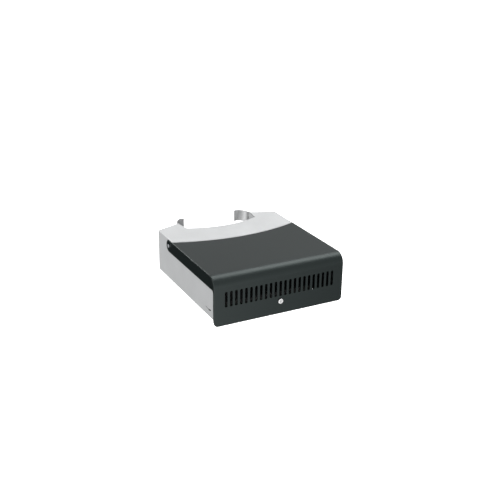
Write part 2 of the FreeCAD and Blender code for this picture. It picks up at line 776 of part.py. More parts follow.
def cover():
    """Hinged cover: top, front panel with air slots, side flanges with round pivot ears."""
    shell = cover_block(0.0, EAR_BACK, 0.0).cut(
        cover_block(SHEET, EAR_BACK + 10, -PAST)
    )
    wide = HALF_COVER + PAST
    lower_edge = COVER_FRONT + FRONT_RETURN
    inner_corner = 8.0
    diagonal = inner_corner * (1 - math.sqrt(0.5))
    under = slab(
        side_view(-wide),
        (lower_edge, -PAST),
        [
            (lower_edge, FLANGE_BOTTOM - inner_corner),
            (
                (lower_edge + diagonal, FLANGE_BOTTOM - diagonal),
                (lower_edge + inner_corner, FLANGE_BOTTOM),
            ),
            (EAR_BACK + PAST, FLANGE_BOTTOM),
            (EAR_BACK + PAST, -PAST),
        ],
        V(2 * wide, 0, 0),
    )
    behind = block(-wide, wide, PIVOT_Y, EAR_BACK + PAST, FLANGE_BOTTOM - PAST, COVER_HEIGHT + PAST)
    behind = behind.cut(rod(EAR_RADIUS, V(-wide, PIVOT_Y, PIVOT_Z), X_AXIS, 2 * wide))
    inner_half = HALF_COVER - SHEET
    seam_end = (inner_half, seam_y(inner_half, SEAM_GAP))
    rear_top = slab(
        plan(COVER_HEIGHT - 10),
        flip(seam_end),
        [
            ((0.0, seam_y(0.0, SEAM_GAP)), seam_end),
            (inner_half, EAR_BACK + PAST),
            (-inner_half, EAR_BACK + PAST),
        ],
        V(0, 0, 10 + PAST),
    )
    tools = [under, behind, rear_top]
    for side in (1, -1):
        x0, x1 = sorted((side * (HALF_COVER - PANEL_CORNER), side * wide))
        corner = block(x0, x1, COVER_FRONT - PAST, lower_edge + PAST, -PAST, PANEL_CORNER)
        round_part = rod(
            PANEL_CORNER,
            V(side * (HALF_COVER - PANEL_CORNER), COVER_FRONT - PAST, PANEL_CORNER),
            Y_AXIS,
            SHEET + PAST,
        )
        tools.append(corner.cut(round_part))
    for i in range(SLOT_COUNT):
        x = (i - (SLOT_COUNT - 1) / 2) * SLOT_PITCH
        centre = (x, (SLOT_BOTTOM + SLOT_TOP) / 2)
        tools.append(
            oblong(
                front_view(COVER_FRONT - PAST),
                centre,
                SLOT_WIDTH,
                SLOT_TOP - SLOT_BOTTOM,
                V(0, SHEET + 2 * PAST, 0),
            )
        )
    tools.append(
        double_d(
            LOCK_BARREL + 0.15, LOCK_FLATS + 0.3, V(0, COVER_FRONT - PAST, LOCK_Z), SHEET + 2 * PAST
        )
    )
    tools.append(rod(BUSH_OUTER, V(-wide, PIVOT_Y, PIVOT_Z), X_AXIS, 2 * wide))
    return cut_all(shell, tools)


def at_pivot(x):
    return V(x, PIVOT_Y, PIVOT_Z)


def pivot_bush():
    """Flanged nylon bush in the cover's right ear."""
    inner_face = HALF_COVER - SHEET
    sleeve = rod(BUSH_OUTER, at_pivot(inner_face), X_AXIS, SHEET)
    rim = rod(BUSH_FLANGE, at_pivot(HALF_COVER), X_AXIS, BUSH_RIM)
    return fuse_all([sleeve, rim]).cut(rod(BUSH_BORE, at_pivot(inner_face - 1), X_AXIS, 5))


def pivot_washer():
    return tube(BUSH_FLANGE, BUSH_BORE, at_pivot(HALF_BODY), X_AXIS, WASHER_THICKNESS)


def pivot_screw():
    """Shoulder screw with a low domed hexagon-socket head."""
    seat = HALF_COVER + BUSH_RIM + 0.2
    head_radius = 5.2
    head_height = 2.8
    shoulder = rod(SHOULDER, at_pivot(HALF_BODY), X_AXIS, seat - HALF_BODY + 0.5)
    thread = rod(2.5, at_pivot(HALF_BODY - 11), X_AXIS, 11.5)
    head = round_edges(
        rod(head_radius, at_pivot(seat), X_AXIS, head_height),
        2.0,
        lambda e: e.Closed and abs(e.CenterOfMass.x - seat - head_height) < 0.01,
    )
    socket = hexagon(3.0, at_pivot(seat + 1.0), X_AXIS, 3.0)
    return fuse_all([shoulder, thread, head]).cut(socket)


def pivot_nut():
    start = at_pivot(HALF_BODY - SHEET - 5.0)
    nut = hexagon(8.0, start, X_AXIS, 5.0)
    return nut.cut(rod(2.55, start - X_AXIS, X_AXIS, 8))


# ---- cam lock -----------------------------------------------------------------------
LOCK_RIM = 8.0
LOCK_RIM_DEPTH = 4.0
BARREL_END = COVER_FRONT + 19.0
PLUG_RADIUS = 4.5
PLUG_CLEARANCE = 0.05
CAM_FRONT = COVER_FRONT + 19.4
CAM_SHEET = 2.0
CAM_LENGTH = 30.0
CAM_HALF_WIDTH = 6.5
DRIVE_SQUARE = 5.5
KEYWAY_WIDTH = 2.0
KEYWAY_HEIGHT = 6.4
KEYWAY_DEPTH = 18.0
WAFER_COUNT = 5
WAFER_SHEET = 0.8
WAFER_PITCH = 2.2


def lock_axis(y):
    return V(0, y, LOCK_Z)


def lock_body():
    """Barrel with a bevelled rim and two flats, bored for the plug."""
    rim_front = COVER_FRONT - LOCK_RIM_DEPTH
    rim = rod(LOCK_RIM, lock_axis(rim_front), Y_AXIS, LOCK_RIM_DEPTH)
    rim = round_edges(rim, 1.2, lambda e: e.Closed and abs(e.CenterOfMass.y - rim_front) < 0.01)
    barrel = double_d(LOCK_BARREL, LOCK_FLATS, lock_axis(COVER_FRONT), BARREL_END - COVER_FRONT)
    bore = rod(
        PLUG_RADIUS + PLUG_CLEARANCE, lock_axis(rim_front - 1), Y_AXIS, BARREL_END - rim_front + 2
    )
    return rim.fuse(barrel).removeSplitter().cut(bore)


def lock_washer():
    """Toothed washer under the lock nut."""
    back = COVER_FRONT + SHEET
    ring = tube(9.5, LOCK_BARREL + 0.1, lock_axis(back), Y_AXIS, 0.9)
    notches = []
    for i in range(12):
        turn = math.radians(30 * i)
        notch = block(-0.8, 0.8, back - 1, back + 2, 8.4, 11.0)
        notch.rotate(V(0, 0, 0), Y_AXIS, math.degrees(turn))
        notch.translate(V(0, 0, LOCK_Z))
        notches.append(notch)
    return cut_all(ring, notches)


def lock_nut():
    start = lock_axis(COVER_FRONT + SHEET + 0.9)
    return hexagon(16.0, start, Y_AXIS, 4.0).cut(
        rod(LOCK_BARREL + 0.05, start - Y_AXIS, Y_AXIS, 6)
    )


def wafer_places():
    first = COVER_FRONT + 3.0
    return [first + i * WAFER_PITCH for i in range(WAFER_COUNT)]


def lock_plug():
    """Turning plug: keyway in front, wafer slots along it, square drive and tapped hole behind."""
    front = COVER_FRONT - LOCK_RIM_DEPTH + 0.3
    shoulder = CAM_FRONT
    plug = rod(PLUG_RADIUS, lock_axis(front), Y_AXIS, shoulder - front)
    half = DRIVE_SQUARE / 2
    drive = block(-half, half, shoulder, shoulder + CAM_SHEET - 0.2, LOCK_Z - half, LOCK_Z + half)
    plug = plug.fuse(drive).removeSplitter()
    keyway = block(
        -KEYWAY_WIDTH / 2,
        KEYWAY_WIDTH / 2,
        front - PAST,
        front + KEYWAY_DEPTH,
        LOCK_Z - KEYWAY_HEIGHT / 2,
        LOCK_Z + KEYWAY_HEIGHT / 2,
    )
    wafers = [
        block(-2.5, 2.5, y - 0.05, y + WAFER_SHEET + 0.05, LOCK_Z - 6, LOCK_Z + 6)
        for y in wafer_places()
    ]
    tapped = rod(1.6, lock_axis(shoulder - 2.0), Y_AXIS, 8)
    return cut_all(plug, [keyway, tapped] + wafers)


def lock_wafers():
    """Brass wafer tumblers, each with a window for the key."""
    made = []
    for i, y in enumerate(wafer_places()):
        step = (i % 3 - 1) * 0.4
        plate = block(-2.4, 2.4, y, y + WAFER_SHEET, LOCK_Z - 3.7, LOCK_Z + 3.7)
        window = block(-1.0, 1.0, y - 1, y + 2, LOCK_Z - 2.3 + step, LOCK_Z + 2.3 + step)
        made.append(plate.cut(window))
    return made


def lock_cam():
    """Flat cam that points to the left when the lock is open, away from the strike."""
    plate = oblong(
        front_view(CAM_FRONT),
        ((CAM_HALF_WIDTH - CAM_LENGTH) / 2, LOCK_Z),
        CAM_LENGTH + CAM_HALF_WIDTH,
        2 * CAM_HALF_WIDTH,
        V(0, CAM_SHEET, 0),
    )
    half = DRIVE_SQUARE / 2
    square = block(-half, half, CAM_FRONT - 1, CAM_FRONT + 4, LOCK_Z - half, LOCK_Z + half)
    return plate.cut(square)


def cam_screw():
    start = CAM_FRONT + CAM_SHEET
    washer = rod(4.6, lock_axis(start), Y_AXIS, 0.8)
    head = hexagon(7.0, lock_axis(start + 0.8), Y_AXIS, 2.6)
    shank = rod(1.6, lock_axis(start - 3.9), Y_AXIS, 4.5)
    return fuse_all([washer, head, shank])


# ---- build --------------------------------------------------------------------------
def build_body():
    saddle = saddle_wall()
    right_claw = claw().cut(Part.makeCompound(claw_screw_places(screw_countersink)))
    left_claw = mirrored(claw()).cut(Part.makeCompound(claw_screw_places(screw_countersink)))
    save("body_shell", body_shell(saddle))
    save("saddle_wall", saddle)
    save("cable_port_trim", cable_port_trim(saddle))
    save("claw_right", right_claw)
    save("claw_left", left_claw)
    save("claw_screws", *claw_screw_places(claw_screw))
    save("claw_nuts", *claw_screw_places(claw_nut))
    save("column_pads", *column_pads())
    save("base_tray", base_tray())
    save("strap_front", strap(STRAP_Y[0]))
    save("strap_rear", strap(STRAP_Y[1]))
    save("strike_plate", strike_plate())
    rivet_top = FLOOR_TOP + STRIKE_SHEET
    save("strike_rivets", *[rivet(x, y, BODY_BOTTOM, rivet_top) for x, y in strike_rivet_places()])
    save("cable_tie_bases", *[tie_base(x, y) for x, y in TIE_PLACES])
    save("tie_base_screws", *[tie_screw(x, y) for x, y in TIE_PLACES])
    save("earth_stud", earth_stud())
    save("earth_washers", *earth_washers())
    save("earth_nut", earth_nut())
    save("cover_bumpers", *cover_bumpers())
    for name, make in (("screw", pivot_screw), ("washer", pivot_washer), ("nut", pivot_nut)):
        save(f"pivot_{name}_right", make())
        save(f"pivot_{name}_left", mirrored(make()))


def build_cover():
    save("cover", cover())
    save("pivot_bush_right", pivot_bush())
    save("pivot_bush_left", mirrored(pivot_bush()))
    save("lock_body", lock_body())
    save("lock_washer", lock_washer())
    save("lock_nut", lock_nut())


def build_lock():
    save("lock_plug", lock_plug())
    save("lock_wafers", *lock_wafers())
    save("lock_cam", lock_cam())
    save("cam_screw", cam_screw())


os.makedirs("parts", exist_ok=True)
build_body()
build_cover()
build_lock()
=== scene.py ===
"""Looks of the lockable vented equipment box: its materials, soft parts, light, floor and camera."""

import math

import bmesh
import bpy
from mathutils import Matrix, Vector


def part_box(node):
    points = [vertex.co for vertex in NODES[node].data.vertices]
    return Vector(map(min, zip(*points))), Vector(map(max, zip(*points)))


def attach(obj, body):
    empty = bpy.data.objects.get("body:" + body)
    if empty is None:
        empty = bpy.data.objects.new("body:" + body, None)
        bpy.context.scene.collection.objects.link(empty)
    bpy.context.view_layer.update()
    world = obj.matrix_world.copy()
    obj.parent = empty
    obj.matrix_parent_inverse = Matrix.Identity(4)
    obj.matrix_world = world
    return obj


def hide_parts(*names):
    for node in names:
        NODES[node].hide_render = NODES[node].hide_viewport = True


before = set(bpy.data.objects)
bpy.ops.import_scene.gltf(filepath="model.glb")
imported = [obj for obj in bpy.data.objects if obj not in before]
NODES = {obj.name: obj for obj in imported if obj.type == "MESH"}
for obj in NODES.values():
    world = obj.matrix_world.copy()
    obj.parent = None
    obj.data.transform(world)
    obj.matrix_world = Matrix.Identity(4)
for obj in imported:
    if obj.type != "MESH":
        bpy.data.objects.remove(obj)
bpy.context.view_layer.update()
SCENE = bpy.context.scene
MM = 0.001
WHITE = (1.0, 1.0, 1.0)
EDGE_WEAR = 0.0004  # radius, in metres, of the rubbed and softened edges of coated sheet
SMALL_EDGE = 0.0002  # radius, in metres, of the softened edges of small parts
BEVEL_SAMPLES = 6
MIX_COLOURS, MIX_RESULT = (6, 7), 2  # a mix node's sockets for two colours and their blend
SHARP_ANGLE = math.radians(35)
ARC_STEPS = 6

# ---- the CAD's own dimensions that the soft parts follow, in millimetres ---------------
SHEET = 1.5
SADDLE_HALF_WIDTH = 128.6
SADDLE_DEPTH = 73.1
SADDLE_SIDE_RADIUS = 57.6
SADDLE_FRONT_RADIUS = 291.0
SADDLE_LEAN = math.radians(7.3)
SIDE_CENTRE_X = SADDLE_HALF_WIDTH - SADDLE_SIDE_RADIUS
FRONT_CENTRE_Y = SADDLE_FRONT_RADIUS - SADDLE_DEPTH
PORT_Z = 85.0
PORT_LENGTH = 100.0
PORT_HEIGHT = 40.0
STRAP_THICKNESS = 1.8
STRAP_LAP = 30.0


# ---- shader helpers -----------------------------------------------------------------
class Shader:
    """A material's node tree with short ways to add and join nodes."""

    def __init__(self, name):
        self.material = bpy.data.materials.new(name)
        self.material.use_nodes = True
        self.tree = self.material.node_tree
        self.tree.nodes.clear()
        self.surface = self.add("ShaderNodeBsdfPrincipled")
        output = self.add("ShaderNodeOutputMaterial")
        self.join(self.surface.outputs["BSDF"], output.inputs["Surface"])

    def add(self, kind, **values):
        """A node of this kind, with values for its inputs and settings by name."""
        node = self.tree.nodes.new(kind)
        for key, value in values.items():
            if key in node.inputs:
                node.inputs[key].default_value = value
            else:
                setattr(node, key, value)
        return node

    def join(self, source, target):
        """Links an output socket to an input socket."""
        self.tree.links.new(source, target)

    def place(self, scale=(1, 1, 1)):
        """Object coordinates in metres, stretched by scale."""
        coordinates = self.add("ShaderNodeTexCoord")
        mapping = self.add("ShaderNodeMapping")
        mapping.inputs["Scale"].default_value = scale
        self.join(coordinates.outputs["Object"], mapping.inputs["Vector"])
        return mapping.outputs["Vector"]

    def noise(self, vector, scale, detail=3.0, roughness=0.55):
        """Cloudy noise, 0 to 1."""
        node = self.add("ShaderNodeTexNoise", Scale=scale, Detail=detail, Roughness=roughness)
        self.join(vector, node.inputs["Vector"])
        return node.outputs["Fac"]

    def wave(self, vector, scale, axis):
        """Bands across an axis, 0 to 1."""
        node = self.add("ShaderNodeTexWave", bands_direction=axis, Scale=scale, Distortion=0.0)
        self.join(vector, node.inputs["Vector"])
        return node.outputs["Fac"]

    def cells(self, vector, scale):
        """Distance to the nearest cell centre."""
        node = self.add("ShaderNodeTexVoronoi", Scale=scale)
        self.join(vector, node.inputs["Vector"])
        return node.outputs["Distance"]

    def maths(self, operation, first, second):
        """Result of an operation on two values, each a socket or a number."""
        node = self.add("ShaderNodeMath", operation=operation)
        for socket, value in zip(node.inputs, (first, second)):
            if isinstance(value, (int, float)):
                socket.default_value = value
            else:
                self.join(value, socket)
        return node.outputs["Value"]

    def ramp(self, factor, stops):
        """Colour ramp. stops are (position, colour), a colour being three numbers or one grey."""
        node = self.add("ShaderNodeValToRGB")
        elements = node.color_ramp.elements
        while len(elements) < len(stops):
            elements.new(0.5)
        for element, (position, colour) in zip(elements, stops):
            element.position = position
            if isinstance(colour, (int, float)):
                colour = (colour,) * 3
            element.color = (*colour, 1.0)
        self.join(factor, node.inputs["Fac"])
        return node.outputs["Color"]

    def mix(self, factor, first, second):
        """Blend of two colours, each a socket or three numbers."""
        node = self.add("ShaderNodeMix", data_type="RGBA")
        self.join(factor, node.inputs["Factor"])
        for index, value in zip(MIX_COLOURS, (first, second)):
            socket = node.inputs[index]
            if isinstance(value, tuple):
                socket.default_value = (*value, 1.0)
            else:
                self.join(value, socket)
        return node.outputs[MIX_RESULT]

    def spread(self, factor, low, high, start=0.0, end=1.0):
        """Maps start..end to low..high."""
        node = self.add("ShaderNodeMapRange")
        for name, value in (("From Min", start), ("From Max", end), ("To Min", low), ("To Max", high)):
            node.inputs[name].default_value = value
        self.join(factor, node.inputs["Value"])
        return node.outputs["Result"]

    def turned_side(self, centre, towards):
        """1 on faces turned towards a point in metres, or else away from it, and 0 on the others."""
        coordinates = self.add("ShaderNodeTexCoord")
        outward = self.add("ShaderNodeVectorMath", operation="SUBTRACT")
        outward.inputs[1].default_value = centre
        product = self.add("ShaderNodeVectorMath", operation="DOT_PRODUCT")
        self.join(coordinates.outputs["Object"], outward.inputs[0])
        self.join(outward.outputs["Vector"], product.inputs[0])
        self.join(coordinates.outputs["Normal"], product.inputs[1])
        return self.maths("LESS_THAN" if towards else "GREATER_THAN", product.outputs["Value"], 0.0)

    def worn_edges(self, radius):
        """1 on convex edges that a bevel of this radius would round, 0 elsewhere."""
        rounded = self.add("ShaderNodeBevel", samples=BEVEL_SAMPLES, Radius=radius)
        geometry = self.add("ShaderNodeNewGeometry")
        product = self.add("ShaderNodeVectorMath", operation="DOT_PRODUCT")
        self.join(rounded.outputs["Normal"], product.inputs[0])
        self.join(geometry.outputs["Normal"], product.inputs[1])
        return self.spread(product.outputs["Value"], 1.0, 0.0, 0.85, 0.99)

    def bump(self, height, distance, edge_radius=0.0):
        """Surface relief on normals that are softened over sharp edges."""
        node = self.add("ShaderNodeBump", Distance=distance)
        self.join(height, node.inputs["Height"])
        if edge_radius:
            rounded = self.add("ShaderNodeBevel", samples=BEVEL_SAMPLES, Radius=edge_radius)
            self.join(rounded.outputs["Normal"], node.inputs["Normal"])
        self.join(node.outputs["Normal"], self.surface.inputs["Normal"])

    def set(self, **values):
        """Sets inputs of the surface; an underscore in a name stands for a space."""
        for key, value in values.items():
            self.surface.inputs[key.replace("_", " ")].default_value = value

    def use(self, socket, value):
        """Drives an input of the surface with a socket."""
        self.join(value, self.surface.inputs[socket])


def tint(colour, factor):
    """The colour made lighter or darker by a factor."""
    return tuple(min(1.0, c * factor) for c in colour)


# ---- materials ----------------------------------------------------------------------
def powder_coat(name, colour, roughness, grain, specular, sheen=WHITE, coat_side_other_painted_shade=None):
    """Baked powder coat: orange peel, fine metallic flakes, faint mottling and rubbed edges.

    With the last argument, a point and whether the coat is on the faces turned towards it, the other
    faces, which are inside the box, are painted dark: painted shade for the dim inside of the box."""
    s = Shader(name)
    where = s.place()
    broad = s.noise(where, 9.0, 2.0)
    flakes = s.cells(where, 1600.0)
    mottled = s.ramp(broad, [(0.3, tint(colour, 0.95)), (0.7, tint(colour, 1.04))])
    flaked = s.mix(s.spread(flakes, 0.5, 0.0, 0.0, 0.25), mottled, tint(colour, 1.35))
    coated = s.mix(s.worn_edges(EDGE_WEAR), flaked, tint(colour, 1.25))
    if coat_side_other_painted_shade:
        # The faces inside the box get a near-black colour: painted shade for the dim inside of the box.
        inside_shade = s.ramp(broad, [(0.3, tint(INSIDE_SHADE_COLOUR, 0.8)), (0.7, tint(INSIDE_SHADE_COLOUR, 1.15))])
        coated = s.mix(s.turned_side(*coat_side_other_painted_shade), inside_shade, coated)
    s.use("Base Color", coated)
    fine = s.noise(where, 900.0, 2.0, 0.6)
    s.use("Roughness", s.spread(fine, roughness - 0.05, roughness + 0.06))
    s.set(Specular_IOR_Level=specular, Specular_Tint=(*sheen, 1.0))
    s.bump(fine, grain, EDGE_WEAR)
    return s.material


def plated(name, colour, roughness, grain, metallic=1.0):
    """Zinc or nickel plating: faint clouding in tint and gloss, fine tool marks."""
    s = Shader(name)
    where = s.place()
    cloud = s.noise(where, 260.0, 3.0)
    marks = s.noise(s.place((1, 14, 14)), 420.0, 2.0)
    s.use("Base Color", s.ramp(cloud, [(0.3, tint(colour, 0.94)), (0.7, tint(colour, 1.05))]))
    s.use("Roughness", s.spread(marks, roughness - 0.08, roughness + 0.1))
    s.set(Metallic=metallic)
    s.bump(marks, grain, SMALL_EDGE)
    return s.material


def chrome(name, node, depth_mm):
    """Bright plated lock face with hairline scratches; further back than depth_mm it is black: painted
    shade in the keyway and on the barrel's side.
    """
    s = Shader(name)
    coordinates = s.add("ShaderNodeTexCoord")
    depth = s.add("ShaderNodeSeparateXYZ")
    s.join(coordinates.outputs["Object"], depth.inputs["Vector"])
    # black beyond depth_mm: painted shade in the keyway and on the barrel's side
    recess_shade_mask = s.maths("GREATER_THAN", depth.outputs["Y"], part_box(node)[0][1] + depth_mm * MM)
    scratches = s.noise(s.place((40, 40, 3)), 160.0, 2.0)
    haze = s.noise(s.place(), 500.0, 2.0)
    face = s.ramp(haze, [(0.3, (0.93, 0.93, 0.935)), (0.7, (0.985, 0.985, 0.985))])
    s.use("Base Color", s.mix(recess_shade_mask, face, RECESS_SHADE_COLOUR))
    s.use("Roughness", s.spread(scratches, 0.15, 0.27))
    s.set(Metallic=0.75)
    s.bump(scratches, 0.000003, SMALL_EDGE)
    return s.material


def black_oxide(name):
    """Blackened screw steel with rubbed, brighter edges."""
    s = Shader(name)
    where = s.place()
    cloud = s.noise(where, 600.0, 3.0)
    dark = s.ramp(cloud, [(0.3, (0.018, 0.018, 0.02)), (0.7, (0.04, 0.04, 0.043))])
    s.use("Base Color", s.mix(s.worn_edges(0.0003), dark, (0.22, 0.22, 0.23)))
    s.use("Roughness", s.spread(cloud, 0.3, 0.48))
    s.set(Metallic=0.85)
    s.bump(cloud, 0.000008, SMALL_EDGE)
    return s.material


def nylon(name, colour, subsurface):
    """Moulded nylon: soft sheen, faint flow lines and fine pitting."""
    s = Shader(name)
    flow = s.noise(s.place((1, 3, 1)), 120.0, 2.0)
    pits = s.noise(s.place(), 1800.0, 2.0)
    s.use("Base Color", s.ramp(flow, [(0.3, tint(colour, 0.9)), (0.7, tint(colour, 1.06))]))
    s.use("Roughness", s.spread(pits, 0.38, 0.55))
    s.set(Subsurface_Weight=subsurface, Subsurface_Scale=0.002)
    s.bump(pits, 0.00001, SMALL_EDGE)
    return s.material


def rubber_compound(name):
    """Black rubber: dusty grey bloom, matt, finely pitted."""
    s = Shader(name)
    where = s.place()
    bloom = s.noise(where, 45.0, 4.0)
    pits = s.noise(where, 2200.0, 2.0)
    s.use("Base Color", s.ramp(bloom, [(0.35, (0.017, 0.017, 0.018)), (0.7, (0.034, 0.034, 0.035))]))
    s.use("Roughness", s.spread(pits, 0.62, 0.85))
    s.set(Specular_IOR_Level=0.3)
    s.bump(pits, 0.00003)
    return s.material


def webbing(name):
    """Woven hook-and-loop tape: two thread directions, fuzz, and a colour lighter on the high threads and
    darker in the low ones.
    """
    s = Shader(name)
    where = s.place()
    warp = s.wave(where, 330.0, "Y")
    weft = s.wave(where, 210.0, "X")
    fuzz = s.noise(where, 3200.0, 4.0, 0.7)
    weave = s.maths("MULTIPLY", warp, weft)
    height = s.maths("ADD", weave, s.spread(fuzz, 0.0, 0.8))
    s.use("Base Color", s.ramp(height, [(0.2, (0.008, 0.008, 0.009)), (0.9, (0.05, 0.05, 0.053))]))
    s.use("Roughness", s.spread(fuzz, 0.8, 0.98))
    s.set(Sheen_Weight=0.35, Sheen_Roughness=0.5)
    s.bump(height, 0.0002)
    return s.material


def thread(name):
    """Twisted sewing thread."""
    s = Shader(name)
    twist = s.wave(s.place((1, 1, 1)), 900.0, "DIAGONAL")
    s.use("Base Color", s.ramp(twist, [(0.2, (0.05, 0.05, 0.055)), (0.8, (0.12, 0.12, 0.125))]))
    s.use("Roughness", s.spread(twist, 0.6, 0.8))
    s.bump(twist, 0.00005)
    return s.material


BODY_COLOUR = (0.62, 0.63, 0.635)
COVER_COLOUR = (0.0043, 0.0078, 0.0077)
COVER_SHEEN = (0.87, 1.0, 0.985)
CLAW_COLOUR = (0.86, 0.865, 0.87)
# the tray's near-black colour is painted shade for the dim inside of the box
TRAY_SHADE_COLOUR = (0.03, 0.033, 0.034)
# near-black colour of the faces inside the box: painted shade
INSIDE_SHADE_COLOUR = (0.035, 0.037, 0.039)
# near black: painted shade for the lock's keyway and barrel side
RECESS_SHADE_COLOUR = (0.006, 0.006, 0.007)
BAY_POINT = (0.0, -0.08, 0.03)  # under the rear top, where all outside faces turn away from it
COLUMN_POINT = (0.0, 0.0, 0.085)  # on the column's axis, which the saddle's coated side faces
# which faces keep the coat; the others, inside the box, get painted shade
OUTSIDE = {"coat_side_other_painted_shade": (BAY_POINT, False)}
COLUMN_SIDE = {"coat_side_other_painted_shade": (COLUMN_POINT, True)}


def make_materials():
    """Every material by name. Grain sizes are in metres."""
    return {
        "body_paint": powder_coat("body_paint", BODY_COLOUR, 0.45, 0.00002, 0.25, **OUTSIDE),
        "saddle_paint": powder_coat("saddle_paint", BODY_COLOUR, 0.45, 0.00002, 0.25, **COLUMN_SIDE),
        "cover_paint": powder_coat("cover_paint", COVER_COLOUR, 0.4, 0.00002, 0.57, COVER_SHEEN),
        # the base tray's near-black coat is painted shade for the dim inside of the box
        "tray_painted_shade": powder_coat("tray_painted_shade", TRAY_SHADE_COLOUR, 0.5, 0.00003, 0.3),
        "zinc": plated("zinc", (0.56, 0.58, 0.6), 0.36, 0.000004),
        "claw_steel": plated("claw_steel", CLAW_COLOUR, 0.3, 0.000003, 0.8),
        "plug_nickel": chrome("plug_nickel", "lock_plug", 0.2),
        "wafer_brass": plated("wafer_brass", (0.72, 0.53, 0.22), 0.3, 0.000003),
        "lock_chrome": chrome("lock_chrome", "lock_body", 0.6),
        "blackened_steel": black_oxide("blackened_steel"),
        "white_nylon": nylon("white_nylon", (0.78, 0.77, 0.73), 0.25),
        "black_nylon": nylon("black_nylon", (0.02, 0.02, 0.021), 0.0),
        "rubber": rubber_compound("rubber"),
        "strap_weave": webbing("strap_weave"),
        "thread": thread("thread"),
    }


MATERIALS = make_materials()
NODE_FINISH = {
    "body_paint": ("body_shell",),
    "saddle_paint": ("saddle_wall",),
    "claw_steel": ("claw_right", "claw_left"),
    "cover_paint": ("cover",),
    "tray_painted_shade": ("base_tray",),
    "lock_chrome": ("lock_body",),
    "plug_nickel": ("lock_plug",),
    "wafer_brass": ("lock_wafers",),
    "blackened_steel": ("claw_screws", "tie_base_screws"),
    "white_nylon": ("cable_tie_bases",),
    "black_nylon": ("pivot_bush_right", "pivot_bush_left"),
}


def finish_nodes():
    """Gives every CAD node its procedural material; fixings that aren't listed are zinc plated."""
    finish = {node: slot for slot, nodes in NODE_FINISH.items() for node in nodes}
    for name, node in NODES.items():
        node.data.materials.clear()
        node.data.materials.append(MATERIALS[finish.get(name, "zinc")])


finish_nodes()


# ---- mesh helpers -------------------------------------------------------------------
def make_piece(name, points, faces, slots, body="body"):
    """Object from points in millimetres and faces; slots are its materials' names."""
    mesh = bpy.data.meshes.new(name)
    mesh.from_pydata([tuple(c * MM for c in p) for p in points], [], faces)
    shaped = bmesh.new()
    shaped.from_mesh(mesh)
    bmesh.ops.recalc_face_normals(shaped, faces=shaped.faces)
    for face in shaped.faces:
        face.smooth = True
    for edge in shaped.edges:
        edge.smooth = edge.calc_face_angle(0.0) < SHARP_ANGLE
    shaped.to_mesh(mesh)
    shaped.free()
    for slot in slots:
        mesh.materials.append(MATERIALS[slot])
    piece = bpy.data.objects.new(name, mesh)
    SCENE.collection.objects.link(piece)
    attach(piece, body)
    return piece


def tube_faces(rings, count, closed, offset=0):
    """Faces between rings of count points each; an open run gets a cap at each end."""
    faces = []
    for i in range(rings if closed else rings - 1):
        here, after = offset + i * count, offset + (i + 1) % rings * count
        for j in range(count):
            k = (j + 1) % count
            faces.append((here + j, here + k, after + k, after + j))
    if not closed:
        faces.append(tuple(offset + j for j in range(count)))
        faces.append(tuple(offset + (rings - 1) * count + j for j in range(count)))
    return faces


def rounded_route(corners, radius, spacing):
    """Points spaced along a polyline in a plane, its corners rounded. Each is (point, normal)."""
    pieces = []
    here = Vector(corners[0])
    for corner, following in zip(corners[1:-1], corners[2:]):
        corner, following = Vector(corner), Vector(following)
        inward, outward = (corner - here).normalized(), (following - corner).normalized()
        half_turn = inward.angle(outward) / 2
        cut = radius * math.tan(half_turn)
        start, end = corner - inward * cut, corner + outward * cut
        pieces.append(("line", here, start))
        centre = corner + (outward - inward).normalized() * (radius / math.cos(half_turn))
        pieces.append(("arc", start, end, centre))
        here = end
    pieces.append(("line", here, Vector(corners[-1])))
    route = []
    for kind, start, end, *centre in pieces:
        if kind == "line":
            count = max(1, round((end - start).length / spacing))
            along = (end - start).normalized()
            normal = Vector((-along.y, along.x))
            route += [(start.lerp(end, i / count), normal) for i in range(count)]
        else:
            first, last = start - centre[0], end - centre[0]
            turn = first.angle_signed(last)
            for i in range(ARC_STEPS):
                arm = Matrix.Rotation(-turn * i / ARC_STEPS, 2) @ first
                side = 1.0 if turn > 0 else -1.0
                route.append((centre[0] + arm, arm.normalized() * side))
    route.append((Vector(corners[-1]), route[-1][1]))
    return route


# ---- equipment straps ---------------------------------------------------------------
STRAP_STEP = 0.75  # between sections along the tape
STRAP_BEND = 1.5  # middle radius of the tape's bends
STRAP_LAP_GAP = 0.2
STRAP_SIDE_GAP = 0.2
STRAP_TIP_LENGTH = 3.0
STRAP_TIP_INSET = 2.6
RIB_RISE = 0.05
RIB_PITCH = 1.5
SELVAGE = 0.8  # share of the half width where the thicker selvage starts
SELVAGE_RISE = 0.12
SELVAGE_EDGE = 0.55
SLACK_RISE = 0.12
SLACK_LENGTH = 17.0
SLACK_CLEARANCE = 3.0  # the slack run is at least this far above the bottom one
SEAM_ROWS = (STRAP_LAP - 3.0, STRAP_LAP - 22.0)
ROW_STITCHES, ROW_PITCH = 9, 2.4
SEAM_SIDE = 10.6  # from the middle of the tape to each long row
SIDE_START = STRAP_LAP - 21.4
SIDE_STITCHES, SIDE_PITCH = 8, 2.35
STITCH_LENGTH = 1.9
STITCH_HEIGHT = 0.5
STITCH_RADIUS = 0.28


def strap_section(width, rib):
    """Outline of the tape: ribbed faces and thicker selvages. Points are (across, height)."""
    outline = []
    stations = 11
    for side in (1, -1):
        for i in range(stations):
            t = -1 + 2 * i / (stations - 1)
            rise = STRAP_THICKNESS / 2 - SELVAGE_RISE
            if abs(t) < SELVAGE:
                rise += rib
            if abs(t) > SELVAGE:
                rise += SELVAGE_RISE
            if abs(t) == 1:
                rise -= SELVAGE_EDGE
            outline.append((side * t * width / 2, side * rise))
    return outline


